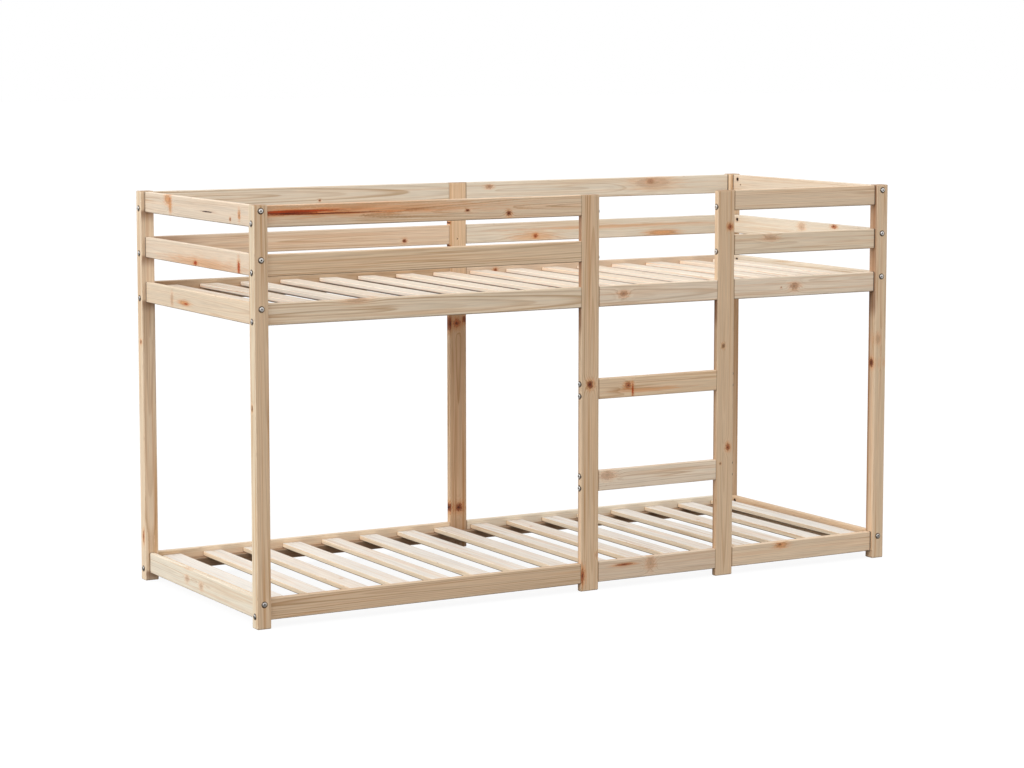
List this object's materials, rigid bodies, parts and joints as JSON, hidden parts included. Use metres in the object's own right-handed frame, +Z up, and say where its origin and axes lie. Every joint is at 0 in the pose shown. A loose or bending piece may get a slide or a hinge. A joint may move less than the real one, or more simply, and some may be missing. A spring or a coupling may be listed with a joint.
{
  "type": "bunk bed",
  "caption": "Low bunk bed of untreated pine boards with slatted bases, guard rails round the upper bunk and an upright ladder built into the front side.",
  "frame": {"origin": "on the floor, under the centre of the bed's bounding box", "axes": "+X along the bed, to the right of someone facing the ladder side; +Y from the ladder side to the back; +Z up"},
  "size_m": [2.06, 0.805, 1.118],
  "materials": {
    "corner_post_pine": "planed, untreated",
    "board_post_pine": "planed, untreated",
    "side_rail_pine": "planed, untreated",
    "end_rail_pine": "planed, untreated",
    "rung_pine": "planed, untreated",
    "ledger_pine": "planed, untreated",
    "slat_pine": "planed, untreated, pale",
    "dowel_beech": "turned, untreated",
    "bolt_steel": "zinc plated",
    "barrel_nut_steel": "zinc plated",
    "screw_zinc": "bright zinc plated"
  },
  "bodies": {
    "root": {"front_left_post": "corner_post_pine", "front_right_post": "corner_post_pine", "back_left_post": "corner_post_pine", "back_right_post": "corner_post_pine", "left_ladder_post": "board_post_pine", "right_ladder_post": "board_post_pine", "back_middle_post": "board_post_pine", "front_lower_left_rail": "side_rail_pine", "front_lower_right_rail": "side_rail_pine", "back_lower_left_rail": "side_rail_pine", "back_lower_right_rail": "side_rail_pine", "front_upper_left_rail": "side_rail_pine", "front_upper_right_rail": "side_rail_pine", "back_upper_left_rail": "side_rail_pine", "back_upper_right_rail": "side_rail_pine", "front_guard_left_rail": "side_rail_pine", "front_guard_right_rail": "side_rail_pine", "back_guard_left_rail": "side_rail_pine", "back_guard_right_rail": "side_rail_pine", "front_top_left_rail": "side_rail_pine", "front_top_right_rail": "side_rail_pine", "back_top_left_rail": "side_rail_pine", "back_top_right_rail": "side_rail_pine", "front_lower_ladder_rail": "side_rail_pine", "front_upper_ladder_rail": "side_rail_pine", "lower_rung": "rung_pine", "upper_rung": "rung_pine", "left_end_lower_rail": "end_rail_pine", "left_end_upper_rail": "end_rail_pine", "left_end_guard_rail": "end_rail_pine", "left_end_top_rail": "end_rail_pine", "right_end_lower_rail": "end_rail_pine", "right_end_upper_rail": "end_rail_pine", "right_end_guard_rail": "end_rail_pine", "right_end_top_rail": "end_rail_pine", "front_lower_ledger": "ledger_pine", "front_upper_ledger": "ledger_pine", "back_lower_ledger": "ledger_pine", "back_upper_ledger": "ledger_pine", "lower_slats": "slat_pine", "upper_slats": "slat_pine", "wooden_dowels": "dowel_beech", "side_rail_bolts": "bolt_steel", "end_rail_bolts": "bolt_steel", "rung_bolts": "bolt_steel", "guard_rail_bolts": "bolt_steel", "joining_studs": "bolt_steel", "side_rail_barrel_nuts": "barrel_nut_steel", "end_rail_barrel_nuts": "barrel_nut_steel", "rung_barrel_nuts": "barrel_nut_steel", "slat_screws": "screw_zinc", "ledger_screws": "screw_zinc"}
  },
  "joints": []
}
